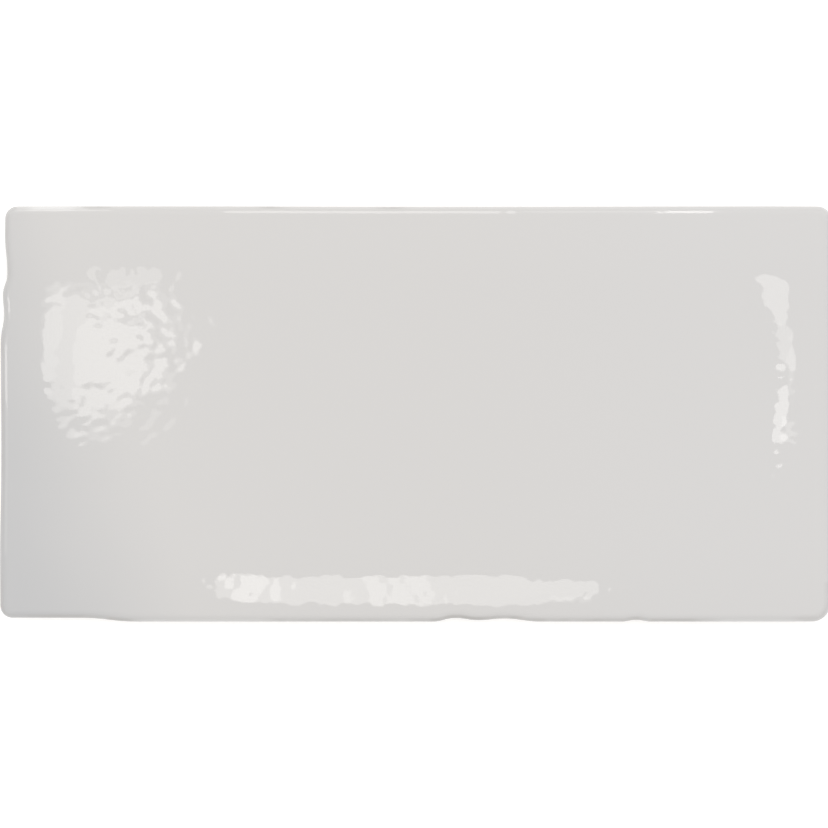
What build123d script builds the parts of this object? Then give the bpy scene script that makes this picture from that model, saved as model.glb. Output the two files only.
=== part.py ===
from build123d import *

import os
from math import ceil, cos, pi

# Handmade-look ceramic wall tile: one piece of pressed clay, glazed on the face and fired.
# Millimetres. The tile lies on its keyed back with the glazed face up: X runs along its length,
# Y across its width, Z from the back to the face. The origin is the centre of the back.

# Overall size of the tile, over the high points of its edges and its crown
tile_length = 150.0
tile_width = 75.0
tile_thickness = 8.0

# Outline of the tile, with one corner rounder than the rest, the rounding of its glazed edge and
# the break of its back edge
corner_radius = 2.2
worn_corner_radius = 3.3
arris_radius = 1.5
back_break = 0.6

# Each wavy edge is a list of (share of its run between two corners, inset from the nominal edge).
# Every point is a crest or a hollow, where the edge runs parallel to the nominal one.
# The runs go round the outline anticlockwise, from the bottom left corner.
bottom_edge = [
    (0.000, 0.68),
    (0.086, 0.68),
    (0.156, 0.00),
    (0.525, 0.00),
    (0.554, 0.64),
    (0.582, 0.26),
    (0.615, 0.54),
    (0.660, 0.00),
    (0.761, 0.00),
    (0.779, 0.30),
    (0.799, 0.00),
    (1.000, 0.00),
]
right_edge = [(0.00, 0.00), (0.40, 0.15), (0.75, 0.00), (1.00, 0.00)]
top_edge = [(0.00, 0.00), (0.50, 0.08), (0.80, 0.00), (1.00, 0.00)]
left_edge = [
    (0.000, 0.88),
    (0.040, 0.88),
    (0.142, 1.32),
    (0.198, 0.52),
    (0.246, 0.72),
    (0.320, 0.12),
    (0.600, 0.22),
    (0.900, 0.00),
    (1.000, 0.00),
]

# Pillowed face: it rolls down towards every edge, and has shallow hollows where the glaze settled
pillow_reach = 14.0
pillow_drop = 0.9
hollow_depth = 0.15
hollow_pitch_x = 95.0
hollow_pitch_y = 60.0
face_step = 3.0
face_overhang = 6.0

# Keyed back: shallow drafted pockets between ribs, so that adhesive grips the tile
key_border = 8.0
key_pocket = 16.5
key_rib = 4.0
key_corner = 1.5
key_depth = 0.7
key_draft = 20.0


def stations(length, step):
    """Even stations over a centred length, no further apart than step."""
    count = ceil(length / step)
    return [length * (i / count - 0.5) for i in range(count + 1)]


def face_height(x, y):
    """Height of the glazed face above the back at a point of the outline's plane."""
    end_gap = tile_length / 2 - abs(x)
    side_gap = tile_width / 2 - abs(y)
    roll = max(0.0, 1 - end_gap / pillow_reach) ** 2 + max(0.0, 1 - side_gap / pillow_reach) ** 2
    hollow = (1 - cos(2 * pi * x / hollow_pitch_x) * cos(2 * pi * y / hollow_pitch_y)) / 2
    return tile_thickness - pillow_drop * roll - hollow_depth * hollow


def key_count(span):
    """How many pockets fit across a span of the back, inside its plain border."""
    return int((span - 2 * key_border + key_rib) // (key_pocket + key_rib))


# The glazed face, made larger than the tile so that it cuts right through the blank
glazed_face = Face.make_surface_from_array_of_points(
    [
        [Vector(x, y, face_height(x, y)) for y in stations(tile_width + 2 * face_overhang, face_step)]
        for x in stations(tile_length + 2 * face_overhang, face_step)
    ],
    tol=0.001,
    min_deg=3,
)

edges = [bottom_edge, right_edge, top_edge, left_edge]
corners = [
    Vector(-tile_length / 2, -tile_width / 2),
    Vector(tile_length / 2, -tile_width / 2),
    Vector(tile_length / 2, tile_width / 2),
    Vector(-tile_length / 2, tile_width / 2),
]
corner_radii = [corner_radius, worn_corner_radius, corner_radius, corner_radius]

with BuildPart() as wall_tile:
    with BuildSketch() as outline:
        with BuildLine() as perimeter:
            for i, edge in enumerate(edges):
                after = (i + 1) % len(edges)
                along = (corners[after] - corners[i]).normalized()
                inward = along.rotate(Axis.Z, 90)
                inset_before = edges[i - 1][-1][1]
                inset_after = edges[after][0][1]
                run_start = corners[i] + along * (inset_before + corner_radii[i])
                run = corners[after] - along * (inset_after + corner_radii[after]) - run_start
                points = [run_start + run * share + inward * inset for share, inset in edge]
                # A crest and the next hollow are joined by two equal arcs, or by a line where level
                for j in range(len(edge) - 1):
                    if edge[j][1] == edge[j + 1][1]:
                        Line(points[j], points[j + 1])
                    else:
                        bend = TangentArc(points[j], (points[j] + points[j + 1]) / 2, tangent=along)
                        TangentArc(bend @ 1, points[j + 1], tangent=bend % 1)
                turn = (along + inward) * corner_radii[after]
                TangentArc(points[-1], points[-1] + turn, tangent=along)
        make_face()
    extrude(amount=tile_thickness + face_overhang)
    chamfer(wall_tile.edges().group_by(Axis.Z)[0], back_break)
    split(bisect_by=glazed_face, keep=Keep.BOTTOM)
    fillet(wall_tile.faces().sort_by(Axis.Z)[-1].edges(), arris_radius)
    with BuildSketch() as keys:
        key_pitch = key_pocket + key_rib
        with GridLocations(key_pitch, key_pitch, key_count(tile_length), key_count(tile_width)):
            RectangleRounded(key_pocket, key_pocket, key_corner)
    extrude(amount=key_depth, taper=key_draft, mode=Mode.SUBTRACT)

wall_tile.part.label = "wall_tile"

os.makedirs("parts", exist_ok=True)
export_step(wall_tile.part, "parts/wall_tile.step")
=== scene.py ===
import logging
import math
from dataclasses import dataclass, field
from enum import Enum

import bpy
import numpy as np
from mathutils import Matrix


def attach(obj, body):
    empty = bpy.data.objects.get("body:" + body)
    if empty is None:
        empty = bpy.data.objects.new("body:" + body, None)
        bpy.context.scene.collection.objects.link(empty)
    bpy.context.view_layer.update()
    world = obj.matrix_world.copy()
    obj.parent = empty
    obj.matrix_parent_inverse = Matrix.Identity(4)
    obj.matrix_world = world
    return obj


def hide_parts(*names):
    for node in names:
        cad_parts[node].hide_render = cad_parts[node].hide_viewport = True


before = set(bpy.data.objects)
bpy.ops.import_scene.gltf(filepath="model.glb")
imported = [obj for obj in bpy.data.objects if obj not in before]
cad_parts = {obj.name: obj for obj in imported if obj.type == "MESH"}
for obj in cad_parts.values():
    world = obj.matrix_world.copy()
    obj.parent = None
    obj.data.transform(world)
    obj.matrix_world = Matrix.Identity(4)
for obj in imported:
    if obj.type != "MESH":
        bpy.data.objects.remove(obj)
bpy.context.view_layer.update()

LOG = logging.getLogger("wall_tile")
Socket = bpy.types.NodeSocket
MM = 0.001
BODY = "root"
SLOT = "glazed_ceramic"
# Mesh attribute that darkens the arris: painted shade along the bottom and left, thinner glaze in the top
# notches, and a painted glint where negative
WEAR_AND_SHADE = "thin_glaze_and_painted_shade"
# The places of the share, both colours and the result among the Mix node's sockets, which share their names
MIX_INPUTS = (0, 6, 7)
MIX_OUTPUT = 2


class Side(Enum):
    """The tile's four edges, as the camera sees them."""

    BOTTOM = "bottom"
    RIGHT = "right"
    TOP = "top"
    LEFT = "left"


class PanelShape(Enum):
    """The outline of a studio panel."""

    SQUARE = "RECTANGLE"
    ROUND = "ELLIPSE"

    @property
    def fill(self) -> float:
        """The share of its own rectangle that the outline covers."""
        return math.pi / 4 if self is PanelShape.ROUND else 1.0


def smoothstep(value: np.ndarray) -> np.ndarray:
    """Ease a value from 0 to 1, flat at both ends."""
    t = np.clip(value, 0.0, 1.0)
    return t * t * (3.0 - 2.0 * t)


def coordinates(piece: bpy.types.Object) -> np.ndarray:
    """Read the vertices of a piece.

    Args:
        piece: The mesh object to read.

    Returns:
        One row of x, y, z for each vertex, in metres.
    """
    flat = np.empty(len(piece.data.vertices) * 3)
    piece.data.vertices.foreach_get("co", flat)
    return flat.reshape(-1, 3)


def place(piece: bpy.types.Object, points: np.ndarray) -> None:
    """Move the vertices of a piece.

    Args:
        piece: The mesh object to change, in object mode.
        points: One row of x, y, z for each vertex, in metres.
    """
    piece.data.vertices.foreach_set("co", points.ravel())
    piece.data.update()


def start_grid(name: str, columns: int, rows: int) -> bpy.types.Object:
    """Add a flat grid one metre across, alone in the selection.

    Args:
        name: The name of the new piece.
        columns: The cells along X.
        rows: The cells along Y.

    Returns:
        The new mesh object.
    """
    bpy.ops.object.select_all(action="DESELECT")
    bpy.ops.mesh.primitive_grid_add(x_subdivisions=columns, y_subdivisions=rows, size=1.0)
    piece = bpy.context.object
    piece.name = name
    piece.data.name = name
    return piece


def edit(piece: bpy.types.Object, kind: str) -> None:
    """Open a piece in edit mode with nothing selected.

    Args:
        piece: The mesh object to edit.
        kind: The select mode: VERT, EDGE or FACE.
    """
    bpy.ops.object.select_all(action="DESELECT")
    piece.select_set(True)
    bpy.context.view_layer.objects.active = piece
    bpy.ops.object.mode_set(mode="EDIT")
    bpy.ops.mesh.select_mode(type=kind)
    bpy.ops.mesh.select_all(action="DESELECT")


def leave() -> None:
    """Go back to object mode."""
    bpy.ops.object.mode_set(mode="OBJECT")


@dataclass(frozen=True)
class WavyEdge:
    """One edge of the outline, as crests and hollows between its two corners.

    Each point is a share of the run and an inset from the nominal edge, in millimetres.
    """

    points: tuple[tuple[float, float], ...]

    def inset(self, share: np.ndarray) -> np.ndarray:
        """Say how far the edge lies inside its nominal line.

        Args:
            share: Shares of the run, from its first corner to its last.

        Returns:
            The insets in millimetres.
        """
        shares = np.array([p[0] for p in self.points])
        insets = np.array([p[1] for p in self.points])
        inside = np.clip(share, 0.0, 1.0)
        k = np.clip(np.searchsorted(shares, inside, side="right") - 1, 0, len(shares) - 2)
        t = (inside - shares[k]) / (shares[k + 1] - shares[k])
        bend = np.where(t < 0.5, 2.0 * t * t, 1.0 - 2.0 * (1.0 - t) ** 2)
        return insets[k] + (insets[k + 1] - insets[k]) * bend

    @property
    def first(self) -> float:
        """The inset at the first corner."""
        return self.points[0][1]

    @property
    def last(self) -> float:
        """The inset at the last corner."""
        return self.points[-1][1]


def wavy_edges() -> dict[Side, WavyEdge]:
    """List the crests and hollows of the four edges, which run anticlockwise from the bottom left corner.

    Returns:
        The wavy edge of each side, the same as the solid's.
    """
    return {
        Side.BOTTOM: WavyEdge(
            (
                (0.000, 0.68),
                (0.086, 0.68),
                (0.156, 0.00),
                (0.525, 0.00),
                (0.554, 0.64),
                (0.582, 0.26),
                (0.615, 0.54),
                (0.660, 0.00),
                (0.761, 0.00),
                (0.779, 0.30),
                (0.799, 0.00),
                (1.000, 0.00),
            )
        ),
        Side.RIGHT: WavyEdge(((0.00, 0.00), (0.40, 0.15), (0.75, 0.00), (1.00, 0.00))),
        Side.TOP: WavyEdge(((0.00, 0.00), (0.50, 0.08), (0.80, 0.00), (1.00, 0.00))),
        Side.LEFT: WavyEdge(
            (
                (0.000, 0.88),
                (0.040, 0.88),
                (0.142, 1.32),
                (0.198, 0.52),
                (0.246, 0.72),
                (0.320, 0.12),
                (0.600, 0.22),
                (0.900, 0.00),
                (1.000, 0.00),
            )
        ),
    }


@dataclass(frozen=True)
class TileOutline:
    """The wavy outline of the tile, in millimetres, the same as the solid's.

    Points up to near from an edge take its whole inset, and points past far take none.
    """

    length: float = 150.0
    width: float = 75.0
    corner_radius: float = 2.2
    worn_corner_radius: float = 3.3
    near: float = 2.5
    far: float = 14.0
    edges: dict[Side, WavyEdge] = field(default_factory=wavy_edges)

    def radius(self, first: Side, second: Side) -> float:
        """Say how round the corner between two edges is.

        Args:
            first: One edge.
            second: The other edge.

        Returns:
            The corner's radius in millimetres.
        """
        worn = {first, second} == {Side.BOTTOM, Side.RIGHT}
        return self.worn_corner_radius if worn else self.corner_radius

    def inset(self, side: Side, along: np.ndarray) -> np.ndarray:
        """Say how far one edge lies inside its nominal line.

        Args:
            side: The edge.
            along: Places along it: x for the bottom and top, y for the right and left.

        Returns:
            The insets in millimetres.
        """
        order = list(Side)
        at = order.index(side)
        follower = order[(at + 1) % len(order)]
        before = self.edges[order[at - 1]].last + self.radius(order[at - 1], side)
        after = self.edges[follower].first + self.radius(side, follower)
        span = self.length if side in (Side.BOTTOM, Side.TOP) else self.width
        forward = along if side in (Side.BOTTOM, Side.RIGHT) else -along
        return self.edges[side].inset((forward + span / 2 - before) / (span - before - after))

    def fit(self, x: np.ndarray, y: np.ndarray) -> tuple[np.ndarray, np.ndarray, np.ndarray]:
        """Bend a plain rectangle of points to the outline.

        Args:
            x: Places along the nominal length, in millimetres.
            y: Places across the nominal width, in millimetres.

        Returns:
            The bent x and y, and how far inside the outline each point lies.
        """
        left = self.inset(Side.LEFT, y)
        right = self.inset(Side.RIGHT, y)
        bottom = self.inset(Side.BOTTOM, x)
        top = self.inset(Side.TOP, x)
        half_x, half_y = self.length / 2, self.width / 2
        new_x = x + left * self.hold(half_x + x) - right * self.hold(half_x - x)
        new_y = y + bottom * self.hold(half_y + y) - top * self.hold(half_y - y)
        gaps = {
            Side.LEFT: new_x + half_x - left,
            Side.RIGHT: half_x - right - new_x,
            Side.BOTTOM: new_y + half_y - bottom,
            Side.TOP: half_y - top - new_y,
        }
        depth = np.minimum.reduce(list(gaps.values()))
        for end, sign_x in ((Side.LEFT, -1.0), (Side.RIGHT, 1.0)):
            for flank, sign_y in ((Side.BOTTOM, -1.0), (Side.TOP, 1.0)):
                radius = self.radius(end, flank)
                p = np.clip(1.0 - gaps[end] / radius, 0.0, 1.0)
                q = np.clip(1.0 - gaps[flank] / radius, 0.0, 1.0)
                corner = (p > 0.0) & (q > 0.0)
                round_p = p * np.sqrt(1.0 - q * q / 2.0)
                round_q = q * np.sqrt(1.0 - p * p / 2.0)
                new_x = np.where(corner, new_x - sign_x * radius * (p - round_p), new_x)
                new_y = np.where(corner, new_y - sign_y * radius * (q - round_q), new_y)
                depth = np.where(corner, radius * (1.0 - np.hypot(round_p, round_q)), depth)
        return new_x, new_y, np.maximum(depth, 0.0)

    def hold(self, gap: np.ndarray) -> np.ndarray:
        """Share of an edge's inset that a point takes, by its distance from the edge."""
        return 1.0 - smoothstep((gap - self.near) / (self.far - self.near))


@dataclass(frozen=True)
class GlazeRipple:
    """One scale of the waves that the glaze froze in, in millimetres."""

    name: str
    wavelength: float
    height: float
    octaves: int

    def apply(self, piece: bpy.types.Object, group: str) -> None:
        """Press the waves into a piece.

        Args:
            piece: The mesh object.
            group: The vertex group that takes them.
        """
        waves = bpy.data.textures.new(self.name, "CLOUDS")
        waves.noise_scale = self.wavelength * MM
        waves.noise_depth = self.octaves
        waves.noise_basis = "BLENDER_ORIGINAL"
        press = piece.modifiers.new(self.name, "DISPLACE")
        press.texture = waves
        press.texture_coords = "LOCAL"
        press.direction = "Z"
        press.mid_level = 1.0
        press.strength = self.height * MM
        press.vertex_group = group
        bpy.ops.object.modifier_apply(modifier=self.name)
        bpy.data.textures.remove(waves)


@dataclass(frozen=True)
class Swell:
    """One low bump in the glaze, or a dimple where its height is negative, in millimetres."""

    x: float
    y: float
    reach: tuple[float, float]
    height: float

    def rise(self, x: np.ndarray, y: np.ndarray) -> np.ndarray:
        """How much of the bump each point has.

        Args:
            x: Places along the tile.
            y: Places across the tile.

        Returns:
            The rise of the face at each point.
        """
        far = ((x - self.x) / self.reach[0]) ** 2 + ((y - self.y) / self.reach[1]) ** 2
        return self.height * np.exp(-far)


@dataclass(frozen=True)
class EdgeRun:
    """A stretch of one edge whose arris is painted darker, in millimetres: painted shade along the bottom
    and left, and thinner glaze in the notches of the top.

    A negative share paints a lighter glint on the arris instead.
    """

    side: Side
    start: float
    end: float
    share: float
    reach: float = 0.9
    fade: float = 5.0

    def wear_and_shade(self, along: np.ndarray, depth: np.ndarray) -> np.ndarray:
        """Say how much the arris is darkened, by painted shade along the bottom and left and by thinner
        glaze in the top notches, and how much it is lightened by a painted glint.

        Args:
            along: Places along the edge: x for the bottom and top, y for the right and left.
            depth: How far inside the outline they lie.

        Returns:
            The share at each place, from -1 for the fullest painted glint to 1 for the darkest arris.
        """
        inside = np.minimum(along - self.start, self.end - along)
        full = self.reach / 3
        inwards = 1.0 - smoothstep((depth - full) / (self.reach - full))
        return self.share * smoothstep(0.5 + inside / self.fade) * inwards


@dataclass(frozen=True)
class GlazedFace:
    """The pillowed, rippled face and the rounded arris round it, in millimetres.

    The ripples are full where the glaze crawled, and elsewhere keep only their calm share.
    """

    outline: TileOutline
    thickness: float = 8.0
    glaze_low: float = 0.03
    arris_radius: float = 1.5
    arris_rows: int = 10
    cell: float = 0.42
    pillow_reach: float = 14.0
    pillow_drop: float = 0.9
    hollow_depth: float = 0.15
    hollow_pitch: tuple[float, float] = (95.0, 60.0)
    ripples: tuple[GlazeRipple, ...] = (
        GlazeRipple("slow_ripple", 7.0, 0.020, 0),
        GlazeRipple("quick_ripple", 3.0, 0.031, 2),
        GlazeRipple("fine_ripple", 1.4, 0.009, 0),
    )
    calm: float = 0.38
    crawled: tuple[Swell, ...] = (
        Swell(-50.0, 19.0, (20.0, 13.0), 1.0),
        Swell(66.0, 8.0, (9.0, 16.0), 0.1),
        Swell(-2.0, -31.0, (36.0, 7.0), 0.5),
    )
    swells: tuple[Swell, ...] = (Swell(-38.2, 12.3, (1.4, 1.6), 0.022),)
    edge_runs: tuple[EdgeRun, ...] = (
        # Painted shade along the bottom arris
        EdgeRun(Side.BOTTOM, -74.0, -50.5, 0.75),
        EdgeRun(Side.BOTTOM, -26.0, 4.0, 0.55),
        EdgeRun(Side.BOTTOM, 2.0, 24.0, 1.0),
        EdgeRun(Side.BOTTOM, 24.0, 54.0, 0.75),
        EdgeRun(Side.BOTTOM, 69.5, 74.0, 0.6, 1.6),
        # Painted shade along the left arris
        EdgeRun(Side.LEFT, -37.0, 36.0, 0.25),
        EdgeRun(Side.LEFT, 9.8, 16.0, 0.5),
        EdgeRun(Side.LEFT, -12.0, 4.7, 0.5),
        EdgeRun(Side.LEFT, 31.0, 36.6, 0.6, 0.8),
        EdgeRun(Side.LEFT, -37.0, -26.0, 0.6),
        # Painted glint on the top left arris
        EdgeRun(Side.TOP, -71.0, -60.0, -0.9, 1.1),
        # Thinner glaze in three notches of the top edge
        EdgeRun(Side.TOP, -60.4, -55.9, 0.8, 0.6),
        EdgeRun(Side.TOP, -27.5, -24.1, 0.8, 0.6),
        EdgeRun(Side.TOP, -6.4, -2.1, 0.8, 0.6),
    )

    def lines(self, span: float) -> np.ndarray:
        """Lay out the grid lines across one direction of the face.

        Args:
            span: The nominal length of that direction.

        Returns:
            The places of the lines, close together over the arris.
        """
        turn = np.linspace(0.0, math.pi / 2, self.arris_rows + 1)
        edge = self.arris_radius * (1.0 - np.cos(turn))
        flat = span - 2.0 * self.arris_radius
        inner = np.linspace(0.0, flat, round(flat / self.cell) + 1)[1:-1] + self.arris_radius
        return np.concatenate((edge, inner, span - edge[::-1])) - span / 2

    def height(self, x: np.ndarray, y: np.ndarray) -> np.ndarray:
        """Height of the pillowed face above the back.

        Args:
            x: Places along the tile.
            y: Places across the tile.

        Returns:
            The heights, without the arris.
        """
        end_gap = self.outline.length / 2 - np.abs(x)
        side_gap = self.outline.width / 2 - np.abs(y)
        roll = np.maximum(0.0, 1.0 - end_gap / self.pillow_reach) ** 2
        roll = roll + np.maximum(0.0, 1.0 - side_gap / self.pillow_reach) ** 2
        waves = np.cos(2 * np.pi * x / self.hollow_pitch[0]) * np.cos(2 * np.pi * y / self.hollow_pitch[1])
        crown = self.thickness - self.glaze_low
        return crown - self.pillow_drop * roll - self.hollow_depth * (1.0 - waves) / 2

    def build(self, name: str) -> bpy.types.Object:
        """Model the face as an open sheet that ends at the foot of its arris.

        Args:
            name: The name of the piece.

        Returns:
            The mesh object.
        """
        across_x = self.lines(self.outline.length)
        across_y = self.lines(self.outline.width)
        piece = start_grid(name, len(across_x) - 1, len(across_y) - 1)
        points = coordinates(piece)
        columns = np.rint((points[:, 0] + 0.5) * (len(across_x) - 1)).astype(int)
        rows = np.rint((points[:, 1] + 0.5) * (len(across_y) - 1)).astype(int)
        x, y, depth = self.outline.fit(across_x[columns], across_y[rows])
        over = np.maximum(0.0, self.arris_radius - depth)
        drop = self.arris_radius - np.sqrt(np.maximum(0.0, self.arris_radius**2 - over**2))
        rise = sum(swell.rise(x, y) for swell in self.swells)
        place(piece, np.column_stack((x, y, self.height(x, y) + rise - drop)) * MM)
        rough = np.maximum.reduce([patch.rise(x, y) for patch in self.crawled])
        self.ripple(piece, smoothstep(depth / self.arris_radius) * (self.calm + (1.0 - self.calm) * rough))
        self.note_wear_and_shade(piece, x, y, depth)
        return piece

    def note_wear_and_shade(self, piece: bpy.types.Object, x: np.ndarray, y: np.ndarray, depth: np.ndarray) -> None:
        """Keep at each vertex how much the arris is darkened, by painted shade along the bottom and left
        and by thinner glaze in the top notches, or lightened by a painted glint, for the finish.

        Args:
            piece: The mesh object.
            x: Places along the tile.
            y: Places across the tile.
            depth: How far inside the outline each vertex lies.
        """
        wear_and_shade = np.zeros_like(x)
        for run in self.edge_runs:
            flank = run.side in (Side.BOTTOM, Side.TOP)
            across = y if flank else x
            outer = across * (1.0 if run.side in (Side.TOP, Side.RIGHT) else -1.0)
            half = (self.outline.width if flank else self.outline.length) / 2
            near = outer > half - self.pillow_reach / 2
            here = run.wear_and_shade(x if flank else y, depth)
            wear_and_shade = np.where(near & (np.abs(here) > np.abs(wear_and_shade)), here, wear_and_shade)
        note = piece.data.attributes.new(WEAR_AND_SHADE, "FLOAT", "POINT")
        note.data.foreach_set("value", wear_and_shade)

    def ripple(self, piece: bpy.types.Object, share: np.ndarray) -> None:
        """Give the face the waves of its glaze.

        Args:
            piece: The mesh object.
            share: How much of the waves each vertex takes.
        """
        name = "glaze"
        group = piece.vertex_groups.new(name=name)
        for index in np.flatnonzero(share > 0.0):
            group.add([int(index)], float(share[index]), "REPLACE")
        for waves in self.ripples:
            waves.apply(piece, name)
        piece.vertex_groups.clear()


@dataclass(frozen=True)
class PressedSides:
    """The side walls below the arris and the broken back edge, in millimetres."""

    outline: TileOutline
    levels: tuple[float, ...] = (3.6, 2.1, 0.6)
    back_break: float = 0.6

    def build(self, piece: bpy.types.Object) -> None:
        """Draw the open edge of the face down to the back.

        Args:
            piece: The face's mesh object, which grows the walls.
        """
        edit(piece, "EDGE")
        bpy.ops.mesh.select_non_manifold()
        for level in self.levels:
            bpy.ops.mesh.extrude_edges_move()
            bpy.ops.transform.resize(value=(1.0, 1.0, 0.0), center_override=(0.0, 0.0, level * MM))
        shrink_x = 1.0 - 2.0 * self.back_break / self.outline.length
        shrink_y = 1.0 - 2.0 * self.back_break / self.outline.width
        bpy.ops.mesh.extrude_edges_move()
        bpy.ops.transform.resize(value=(shrink_x, shrink_y, 0.0), center_override=(0.0, 0.0, 0.0))
        leave()


@dataclass(frozen=True)
class KeyedBack:
    """The pockets and ribs that adhesive grips, in millimetres."""

    pockets: tuple[int, int] = (6, 3)
    pocket: float = 16.5
    rib: float = 4.0
    depth: float = 0.7
    draft: float = 20.0
    corner: float = 1.5
    corner_steps: int = 4

    def build(self, name: str) -> bpy.types.Object:
        """Model the field of pockets as an open sheet in the plane of the back.

        Args:
            name: The name of the sheet.

        Returns:
            The mesh object.
        """
        pitch = self.pocket + self.rib
        piece = start_grid(name, *self.pockets)
        span = np.array((self.pockets[0] * pitch, self.pockets[1] * pitch, 0.0))
        place(piece, coordinates(piece) * span * MM)
        edit(piece, "FACE")
        bpy.ops.mesh.select_all(action="SELECT")
        bpy.ops.mesh.inset(use_individual=True, thickness=self.rib / 2 * MM, depth=0.0)
        lean = self.depth * math.tan(math.radians(self.draft))
        bpy.ops.mesh.inset(use_individual=True, thickness=lean * MM, depth=self.depth * MM)
        leave()
        self.round_corners(piece)
        return piece

    def round_corners(self, piece: bpy.types.Object) -> None:
        """Round the upright corners of the pockets.

        Args:
            piece: The sheet of pockets.
        """
        edit(piece, "EDGE")
        leave()
        points = coordinates(piece)
        for line in piece.data.edges:
            a, b = line.vertices
            line.select = bool(abs(points[a, 2] - points[b, 2]) > self.depth * MM / 2)
        bpy.ops.object.mode_set(mode="EDIT")
        bpy.ops.mesh.bevel(offset=self.corner * MM, segments=self.corner_steps, affect="EDGES")
        leave()


@dataclass(frozen=True)
class Grain:
    """One soft noise of a finish: its cells in a metre and its finer octaves."""

    scale: float
    detail: float


@dataclass(frozen=True)
class Span:
    """Where a number of a finish starts and ends, and what it is eased to there."""

    low: float
    high: float
    at_low: float = 0.0
    at_high: float = 1.0


@dataclass(frozen=True)
class NodeBench:
    """Short forms for adding and linking shader nodes."""

    tree: bpy.types.NodeTree

    def add(self, kind: str, **inputs: object) -> bpy.types.Node:
        """Add a node and feed its named inputs.

        Args:
            kind: The node's type name.
            **inputs: A socket to link or a value to set, by input name.

        Returns:
            The new node.
        """
        node = self.tree.nodes.new(kind)
        for name, value in inputs.items():
            self.feed(node.inputs[name], value)
        return node

    def link(self, source: Socket, target: Socket) -> None:
        """Join an output to an input."""
        self.tree.links.new(source, target)

    def feed(self, target: Socket, value: object) -> None:
        """Link a socket, or set a plain value.

        Args:
            target: The input.
            value: An output socket, a number or a colour.
        """
        if isinstance(value, Socket):
            self.link(value, target)
        else:
            target.default_value = value

    def math(self, operation: str, *values: object) -> Socket:
        """Work out a number.

        Args:
            operation: The operation of the Math node.
            *values: Its inputs in order.

        Returns:
            The result's socket.
        """
        node = self.tree.nodes.new("ShaderNodeMath")
        node.operation = operation
        for target, value in zip(node.inputs, values):
            self.feed(target, value)
        return node.outputs["Value"]

    def ramp(self, value: Socket, span: Span) -> Socket:
        """Ease a number from one range to another.

        Args:
            value: The input.
            span: Both ranges.

        Returns:
            The result's socket.
        """
        node = self.tree.nodes.new("ShaderNodeMapRange")
        node.interpolation_type = "SMOOTHSTEP"
        for target, number in zip(node.inputs, (value, span.low, span.high, span.at_low, span.at_high)):
            self.feed(target, number)
        return node.outputs["Result"]

    def noise(self, where: Socket, grain: Grain) -> Socket:
        """Make soft noise.

        Args:
            where: The coordinates it is laid on.
            grain: How fine it is.

        Returns:
            The noise's value, from 0 to 1.
        """
        node = self.add("ShaderNodeTexNoise", Vector=where, Scale=grain.scale, Detail=grain.detail)
        return node.outputs["Fac"]

    def mix(self, share: object, first: object, second: object) -> Socket:
        """Mix two colours.

        Args:
            share: How much of the second.
            first: A colour or an output.
            second: A colour or an output.

        Returns:
            The mixed colour's socket.
        """
        node = self.tree.nodes.new("ShaderNodeMix")
        node.data_type = "RGBA"
        for place_in, value in zip(MIX_INPUTS, (share, first, second)):
            self.feed(node.inputs[place_in], value)
        return node.outputs[MIX_OUTPUT]


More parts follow.
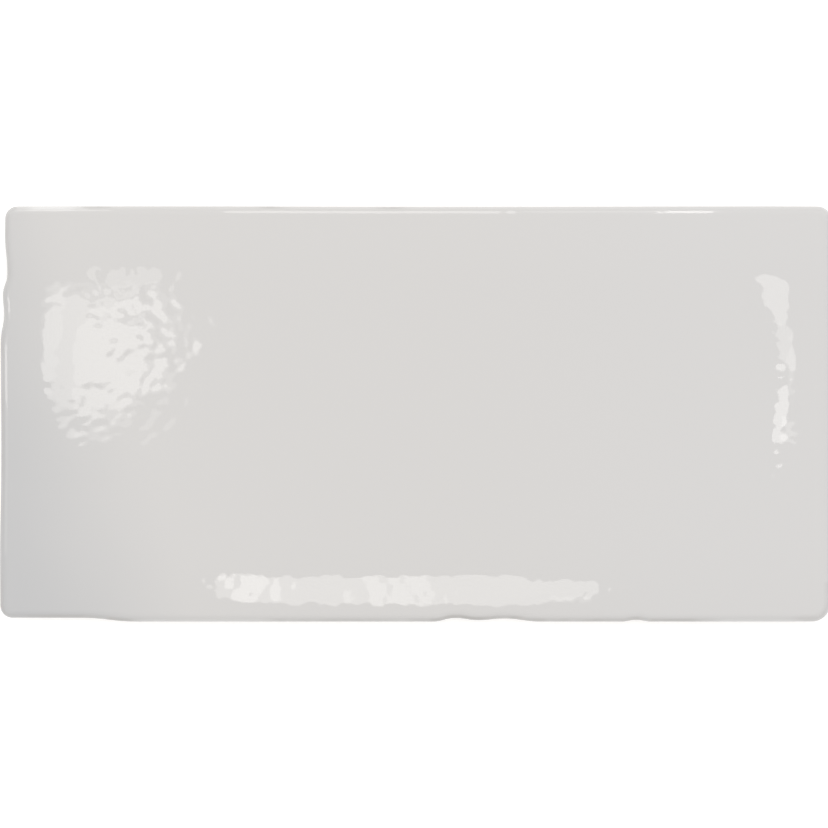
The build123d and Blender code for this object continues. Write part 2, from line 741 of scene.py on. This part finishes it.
@dataclass(frozen=True)
class GlazeFinish:
    """The gloss glaze over the clay body, and where it stops, in millimetres."""

    name: str = SLOT
    glaze: tuple[float, float, float, float] = (0.697, 0.681, 0.666, 1.0)
    cool_glaze: tuple[float, float, float, float] = (0.702, 0.689, 0.679, 1.0)
    # Painted shade over the left end of the face, darkest at the bottom left
    painted_shade_glaze: tuple[float, float, float, float] = (0.592, 0.589, 0.590, 1.0)
    # Painted shade along the bottom and left arris, also the colour of the thinner glaze in the top notches
    thin_glaze_and_painted_shade: tuple[float, float, float, float] = (0.500, 0.484, 0.466, 1.0)
    # Painted glint on the top left arris
    painted_glint_glaze: tuple[float, float, float, float] = (0.860, 0.850, 0.840, 1.0)
    biscuit: tuple[float, float, float, float] = (0.720, 0.640, 0.540, 1.0)
    grog: tuple[float, float, float, float] = (0.619, 0.550, 0.464, 1.0)
    kiln_flush: tuple[float, float, float, float] = (0.640, 0.510, 0.400, 1.0)
    glaze_roughness: float = 0.015
    biscuit_roughness: float = 0.85
    ior: float = 1.5
    glaze_foot: float = 1.8
    glaze_run: float = 1.6
    foot_noise: Grain = Grain(260.0, 3.0)
    foot_blur: Span = Span(-0.15 * MM, 0.15 * MM)
    shade_noise: Grain = Grain(30.0, 2.0)
    shade_wander: float = 12.0
    shade_slant: float = 0.3
    shade_span: Span = Span(-75.0 * MM, -44.0 * MM, 1.0, 0.0)
    cool_span: Span = Span(0.0, 60.0 * MM)
    arris_span: Span = Span(4.5 * MM, 5.8 * MM)
    wear_and_shade_noise: Grain = Grain(160.0, 4.0)
    wear_and_shade_span: Span = Span(0.34, 0.6, 0.5, 1.0)
    grog_noise: Grain = Grain(900.0, 4.0)
    flush_noise: Grain = Grain(35.0, 3.0)
    flush_span: Span = Span(0.35, 0.7, 0.0, 0.55)
    clay_noise: Grain = Grain(1500.0, 3.0)
    clay_strength: float = 0.5
    clay_height: float = 0.15

    def make(self) -> bpy.types.Material:
        """Build the material from nodes.

        Returns:
            The finished material.
        """
        finish = bpy.data.materials.new(self.name)
        finish.use_nodes = True
        nodes = NodeBench(finish.node_tree)
        shader = finish.node_tree.nodes["Principled BSDF"]
        shader.inputs["IOR"].default_value = self.ior
        where = nodes.add("ShaderNodeTexCoord").outputs["Object"]
        axes = nodes.add("ShaderNodeSeparateXYZ", Vector=where).outputs
        covered = self.coverage(nodes, where, axes["Z"])
        tone = self.worn(nodes, where, axes["Z"], self.glaze_tone(nodes, where, axes["X"], axes["Y"]))
        nodes.link(nodes.mix(covered, self.clay_tone(nodes, where), tone), shader.inputs["Base Color"])
        rough = nodes.ramp(covered, Span(0.0, 1.0, self.biscuit_roughness, self.glaze_roughness))
        nodes.link(rough, shader.inputs["Roughness"])
        nodes.link(self.clay_grain(nodes, where, covered), shader.inputs["Normal"])
        return finish

    def coverage(self, nodes: NodeBench, where: Socket, height: Socket) -> Socket:
        """Find where the glaze covers the clay, down to its uneven foot.

        Args:
            nodes: The bench of the material.
            where: The object coordinates.
            height: The height above the back.

        Returns:
            A socket that is 1 on the glaze and 0 on the clay.
        """
        run = nodes.noise(where, self.foot_noise)
        lowest = (self.glaze_foot - self.glaze_run / 2) * MM
        foot = nodes.math("MULTIPLY_ADD", run, self.glaze_run * MM, lowest)
        return nodes.ramp(nodes.math("SUBTRACT", height, foot), self.foot_blur)

    def glaze_tone(self, nodes: NodeBench, where: Socket, along: Socket, across: Socket) -> Socket:
        """Tone the glaze, cooler at its right, with painted shade darkening its left end.

        Args:
            nodes: The bench of the material.
            where: The object coordinates.
            along: The place along the tile.
            across: The place across the tile.

        Returns:
            The colour's socket.
        """
        slant = nodes.math("MULTIPLY_ADD", across, self.shade_slant, along)
        drift = nodes.noise(where, self.shade_noise)
        wander = nodes.math("MULTIPLY_ADD", drift, self.shade_wander * MM, slant)
        cooled = nodes.mix(nodes.ramp(along, self.cool_span), self.glaze, self.cool_glaze)
        # Painted shade over the left end, slanted so that it reaches further in at the bottom
        return nodes.mix(nodes.ramp(wander, self.shade_span), cooled, self.painted_shade_glaze)

    def worn(self, nodes: NodeBench, where: Socket, height: Socket, tone: Socket) -> Socket:
        """Darken the arris with painted shade along the bottom and left and with thinner glaze in the top
        notches, and lighten it with a painted glint, as the mesh notes it.

        Args:
            nodes: The bench of the material.
            where: The object coordinates.
            height: The height above the back.
            tone: The colour of the glaze elsewhere.

        Returns:
            The colour's socket.
        """
        edge = nodes.add("ShaderNodeAttribute")
        edge.attribute_name = WEAR_AND_SHADE
        uneven = nodes.ramp(nodes.noise(where, self.wear_and_shade_noise), self.wear_and_shade_span)
        noted = nodes.math("MULTIPLY", edge.outputs["Fac"], uneven)
        wear_and_shade = nodes.math("MULTIPLY", noted, nodes.ramp(height, self.arris_span))
        # Painted shade along the bottom and left arris, and thinner glaze in the top notches
        thinned_and_shaded = nodes.mix(nodes.math("MAXIMUM", wear_and_shade, 0.0), tone, self.thin_glaze_and_painted_shade)
        # Painted glint where the noted share is negative
        painted_glint_share = nodes.math("MAXIMUM", nodes.math("MULTIPLY", wear_and_shade, -1.0), 0.0)
        return nodes.mix(painted_glint_share, thinned_and_shaded, self.painted_glint_glaze)

    def clay_tone(self, nodes: NodeBench, where: Socket) -> Socket:
        """Tone the bare clay, speckled and flushed by the kiln.

        Args:
            nodes: The bench of the material.
            where: The object coordinates.

        Returns:
            The colour's socket.
        """
        clay = nodes.mix(nodes.noise(where, self.grog_noise), self.biscuit, self.grog)
        flushed = nodes.ramp(nodes.noise(where, self.flush_noise), self.flush_span)
        return nodes.mix(flushed, clay, self.kiln_flush)

    def clay_grain(self, nodes: NodeBench, where: Socket, covered: Socket) -> Socket:
        """Roughen the bare clay with a fine grain.

        Args:
            nodes: The bench of the material.
            where: The object coordinates.
            covered: 1 on the glaze and 0 on the clay.

        Returns:
            The normal's socket.
        """
        bare = nodes.ramp(covered, Span(0.0, 1.0, 1.0, 0.0))
        grain = nodes.math("MULTIPLY", nodes.noise(where, self.clay_noise), bare)
        bump = nodes.add("ShaderNodeBump", Height=grain)
        bump.inputs["Strength"].default_value = self.clay_strength
        bump.inputs["Distance"].default_value = self.clay_height * MM
        return bump.outputs["Normal"]


@dataclass(frozen=True)
class WallTile:
    """The whole tile: one closed mesh from face, sides and back, smooth below an angle in degrees."""

    face: GlazedFace
    sides: PressedSides
    back: KeyedBack
    finish: GlazeFinish
    name: str = "glazed_tile"
    node: str = "wall_tile"
    smooth_angle: float = 40.0

    def build(self) -> bpy.types.Object:
        """Model the tile and give it its finish.

        Returns:
            The finished piece.
        """
        piece = self.face.build(self.name)
        self.sides.build(piece)
        keys = self.back.build("keys")
        bpy.ops.object.select_all(action="DESELECT")
        keys.select_set(True)
        piece.select_set(True)
        bpy.context.view_layer.objects.active = piece
        bpy.ops.object.join()
        edit(piece, "EDGE")
        bpy.ops.mesh.select_non_manifold()
        bpy.ops.mesh.fill()
        bpy.ops.mesh.select_all(action="SELECT")
        bpy.ops.mesh.normals_make_consistent(inside=False)
        leave()
        bpy.ops.object.shade_smooth_by_angle(angle=math.radians(self.smooth_angle))
        self.dress(piece)
        return piece

    def dress(self, piece: bpy.types.Object) -> None:
        """Paint the piece and set it in the frame.

        Args:
            piece: The tile's mesh object.
        """
        piece.data.materials.clear()
        piece.data.materials.append(self.finish.make())
        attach(piece, BODY)
        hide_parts(self.node)


@dataclass(frozen=True)
class SoftPanel:
    """A flat studio panel that shines straight down unless it leans, in millimetres and degrees."""

    name: str
    centre: tuple[float, float, float]
    size: tuple[float, float]
    radiance: float
    tint: tuple[float, float, float] = (1.0, 0.985, 0.955)
    lean: tuple[float, float] = (0.0, 0.0)
    turn: float = 0.0
    shape: PanelShape = PanelShape.SQUARE
    gloss_only: bool = False

    def build(self) -> bpy.types.Object:
        """Hang the panel.

        Returns:
            The lamp object.
        """
        lamp = bpy.data.lights.new(self.name, "AREA")
        lamp.shape = self.shape.value
        lamp.size, lamp.size_y = (s * MM for s in self.size)
        lamp.energy = self.radiance * math.pi * lamp.size * lamp.size_y * self.shape.fill
        lamp.color = self.tint
        holder = bpy.data.objects.new(self.name, lamp)
        holder.location = [c * MM for c in self.centre]
        holder.rotation_euler = [math.radians(a) for a in (*self.lean, self.turn)]
        holder.visible_camera = False
        holder.visible_diffuse = not self.gloss_only
        bpy.context.scene.collection.objects.link(holder)
        return holder


@dataclass(frozen=True)
class RoundPanel(SoftPanel):
    """A studio panel with an elliptical outline."""

    shape: PanelShape = PanelShape.ROUND


@dataclass(frozen=True)
class CornerWindow:
    """Tall window panes off one corner of the tile, which its gloss mirrors, in millimetres and degrees."""

    name: str
    azimuth: float
    elevation: float = 24.0
    distance: float = 1200.0
    pane: tuple[float, float] = (120.0, 640.0)
    panes: int = 3
    pitch: float = 12.0
    radiance: float = 0.6

    def panels(self) -> list[SoftPanel]:
        """Lay out the panes side by side, each turned to the tile.

        Returns:
            One panel for each pane.
        """
        rise = math.radians(self.elevation)
        out = self.distance * math.cos(rise)
        panels = []
        for number in range(self.panes):
            turn = self.azimuth + (number - (self.panes - 1) / 2) * self.pitch
            side = math.radians(turn)
            centre = (out * math.sin(side), -out * math.cos(side), self.distance * math.sin(rise))
            panels.append(
                SoftPanel(
                    f"{self.name}_{number}",
                    centre,
                    self.pane,
                    self.radiance,
                    lean=(90.0 - self.elevation, 0.0),
                    turn=turn,
                    gloss_only=True,
                )
            )
        return panels


@dataclass(frozen=True)
class Studio:
    """Floor, soft light and camera, the floor and clip in metres and the view in millimetres."""

    floor_size: float = 8.0
    floor_drop: float = 0.0002
    floor_colour: tuple[float, float, float, float] = (0.8, 0.8, 0.8, 1.0)
    floor_glow: float = 0.45
    sky_towards: tuple[float, float, float] = (0.57, 0.20, 0.80)
    sky_dark: float = 0.757
    sky_bright: float = 1.19
    clip: tuple[float, float] = (0.01, 50.0)
    lens: float = 200.0
    sensor: float = 36.0
    view_width: float = 149.51
    view_middle: float = -0.245
    view_height: float = 5.5
    panels: tuple[SoftPanel, ...] = (
        RoundPanel("left_window_soft", (-156.0, 26.0, 820.0), (148.0, 52.0), 0.6, turn=-5.0),
        RoundPanel("left_window", (-153.5, 19.5, 800.0), (131.0, 44.0), 1.6, turn=-5.0),
        RoundPanel("left_window_edge", (-190.0, 28.0, 805.0), (62.0, 36.0), 0.7, turn=20.0),
        RoundPanel("left_window_low", (-106.0, 12.5, 810.0), (42.0, 30.0), 0.9),
        RoundPanel("left_window_glow", (-102.0, 60.0, 815.0), (30.0, 54.0), 1.3),
        SoftPanel("front_strip", (-18.5, -182.0, 800.0), (81.0, 82.0), 2.3),
        RoundPanel("front_strip_left", (-54.0, -180.0, 805.0), (28.0, 86.0), 1.9),
        SoftPanel("front_strip_bright", (-5.0, -185.0, 810.0), (16.0, 86.0), 1.3),
        RoundPanel("front_strip_join", (25.0, -173.0, 800.0), (30.0, 62.0), 2.3),
        RoundPanel("front_strip_right", (38.0, -192.0, 800.0), (36.0, 68.0), 2.2, turn=-20.0),
        RoundPanel("front_strip_end", (49.0, -215.0, 810.0), (14.0, 26.0), 0.8),
        RoundPanel("right_window_high", (177.0, 48.0, 800.0), (102.0, 38.0), 2.3, turn=-9.0),
        RoundPanel("right_window_mid", (213.0, 21.5, 805.0), (58.0, 14.0), 1.7, turn=-9.0),
        RoundPanel("right_window_thin", (228.0, 13.0, 810.0), (24.0, 12.0), 0.8, turn=30.0),
        RoundPanel("right_window_low", (192.0, -0.5, 800.0), (50.0, 17.0), 3.3, turn=14.0),
        RoundPanel("right_window_tip", (222.0, -6.5, 805.0), (56.0, 7.0), 1.4, turn=-9.0),
        SoftPanel("back_strip", (-21.0, 850.0, 750.0), (108.0, 600.0), 2.6, lean=(-50.0, 0.0)),
        SoftPanel("back_strip_faint", (72.0, 850.0, 640.0), (64.0, 400.0), 0.9, lean=(-50.0, 0.0)),
        SoftPanel("back_strip_right", (115.0, 850.0, 750.0), (26.0, 600.0), 5.4, lean=(-50.0, 0.0)),
        SoftPanel("back_strip_left", (-220.0, 850.0, 330.0), (206.0, 240.0), 2.4, lean=(-70.0, 0.0)),
        SoftPanel("side_strip", (-850.0, 17.0, 750.0), (600.0, 32.0), 3.4, lean=(0.0, -50.0)),
        SoftPanel("side_strip_faint", (-850.0, -6.0, 750.0), (600.0, 160.0), 0.8, lean=(0.0, -50.0)),
    )
    windows: tuple[CornerWindow, ...] = (
        CornerWindow("front_right_window", 45.0),
        CornerWindow("back_right_window", 135.0),
        CornerWindow("back_left_window", 225.0),
        CornerWindow("front_left_window", 315.0),
    )

    def build(self) -> None:
        """Set up the floor, the lamps, the sky and the camera."""
        self.lay_floor()
        self.light_sky()
        panes = [pane for window in self.windows for pane in window.panels()]
        for panel in (*self.panels, *panes):
            lamp = panel.build()
            LOG.info("lamp %s", lamp.name)
        self.set_camera()
        bpy.context.scene.view_settings.view_transform = "Standard"

    def seen_directly(self, nodes: NodeBench) -> Socket:
        """Find rays that show the backdrop itself.

        Args:
            nodes: The bench of the node tree.

        Returns:
            A socket that is 1 for camera, glossy and transmission rays.
        """
        path = nodes.add("ShaderNodeLightPath")
        mirrored = nodes.math("MAXIMUM", path.outputs["Is Glossy Ray"], path.outputs["Is Transmission Ray"])
        return nodes.math("MAXIMUM", path.outputs["Is Camera Ray"], mirrored)

    def lay_floor(self) -> None:
        """Lay the pale floor that keeps the tile's shadow."""
        bpy.ops.object.select_all(action="DESELECT")
        bpy.ops.mesh.primitive_plane_add(size=self.floor_size, location=(0.0, 0.0, -self.floor_drop))
        floor = bpy.context.object
        floor.name = "floor"
        paint = bpy.data.materials.new("floor_paint")
        paint.use_nodes = True
        paint.node_tree.nodes.clear()
        nodes = NodeBench(paint.node_tree)
        matt = nodes.add("ShaderNodeBsdfDiffuse", Color=self.floor_colour)
        glow = nodes.math("MULTIPLY", self.seen_directly(nodes), self.floor_glow)
        light = nodes.add("ShaderNodeEmission", Strength=glow)
        both = nodes.add("ShaderNodeAddShader")
        nodes.link(matt.outputs["BSDF"], both.inputs[0])
        nodes.link(light.outputs["Emission"], both.inputs[1])
        out = nodes.add("ShaderNodeOutputMaterial")
        nodes.link(both.outputs["Shader"], out.inputs["Surface"])
        floor.data.materials.append(paint)

    def light_sky(self) -> None:
        """Light the room softly, brighter behind and to the right of the tile."""
        world = bpy.data.worlds.new("studio")
        bpy.context.scene.world = world
        world.use_nodes = True
        world.node_tree.nodes.clear()
        nodes = NodeBench(world.node_tree)
        outwards = nodes.add("ShaderNodeTexCoord").outputs["Generated"]
        towards = nodes.add("ShaderNodeVectorMath", Vector=outwards)
        towards.operation = "DOT_PRODUCT"
        towards.inputs[1].default_value = self.sky_towards
        soft = nodes.ramp(towards.outputs["Value"], Span(-1.0, 1.0, self.sky_dark, self.sky_bright))
        seen = self.seen_directly(nodes)
        plain = nodes.math("MULTIPLY", soft, nodes.math("SUBTRACT", 1.0, seen))
        strength = nodes.math("ADD", plain, seen)
        light = nodes.add("ShaderNodeBackground", Strength=strength)
        out = nodes.add("ShaderNodeOutputWorld")
        nodes.link(light.outputs["Background"], out.inputs["Surface"])

    def set_camera(self) -> None:
        """Look straight down on the face, with the tile as wide as the picture."""
        view = bpy.data.cameras.new("camera")
        view.lens = self.lens
        view.sensor_width = self.sensor
        view.clip_start, view.clip_end = self.clip
        camera = bpy.data.objects.new("camera", view)
        height = self.view_height + self.view_width * self.lens / self.sensor
        camera.location = (self.view_middle * MM, 0.0, height * MM)
        bpy.context.scene.collection.objects.link(camera)
        bpy.context.scene.camera = camera


def main() -> None:
    """Build the tile and the studio, in order."""
    logging.basicConfig(level=logging.INFO, format="%(name)s: %(message)s")
    outline = TileOutline()
    tile = WallTile(GlazedFace(outline), PressedSides(outline), KeyedBack(), GlazeFinish())
    piece = tile.build()
    mesh = piece.data
    LOG.info("piece %s: %d vertices, %d faces", piece.name, len(mesh.vertices), len(mesh.polygons))
    Studio().build()


if __name__ == "__main__":
    main()
